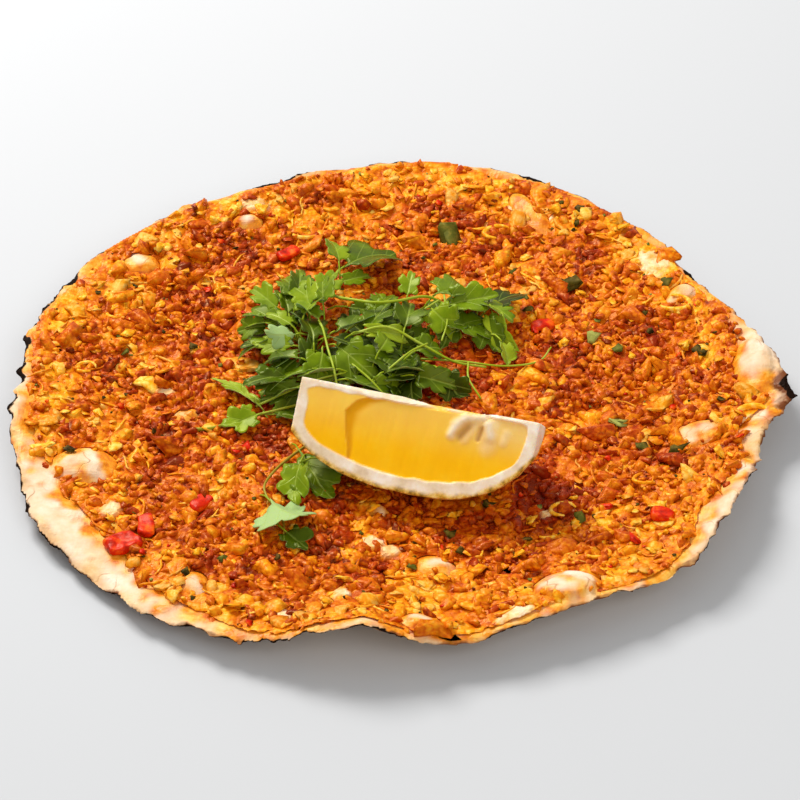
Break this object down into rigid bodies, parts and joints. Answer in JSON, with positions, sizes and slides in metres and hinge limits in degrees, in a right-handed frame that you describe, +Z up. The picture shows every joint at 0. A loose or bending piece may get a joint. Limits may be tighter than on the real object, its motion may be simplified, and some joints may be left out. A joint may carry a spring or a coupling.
{
  "type": "lahmacun",
  "caption": "Thin round oven-baked flatbread under a spread of minced meat, with a wedge of lemon and loose flat-leaf parsley lying on it.",
  "frame": {"origin": "on the table, under the middle of the whole", "axes": "+Z up, -Y towards the diner, with the lemon wedge in front of the parsley"},
  "size_m": [0.266, 0.2598, 0.0371],
  "materials": {
    "baked_dough": "thin baked dough, pale and floury with brown and black toasted spots",
    "minced_meat": "crumbly minced meat in orange-red oil, with herbs and golden streaks",
    "red_pepper": "soft cooked red pepper, glossy with oil",
    "lemon": "wet yellow lemon flesh with a cream pith and a thin yellow rind",
    "parsley": "fresh flat parsley leaves on thin light green stems"
  },
  "bodies": {
    "root": {"flatbread": "baked_dough", "meat_spread": "minced_meat", "pepper_1": "red_pepper", "pepper_2": "red_pepper", "pepper_3": "red_pepper", "pepper_4": "red_pepper", "pepper_5": "red_pepper", "pepper_6": "red_pepper", "lemon_wedge": "lemon", "parsley_bunch": "parsley", "parsley_sprig_left": "parsley", "parsley_sprig_front": "parsley"}
  },
  "joints": []
}
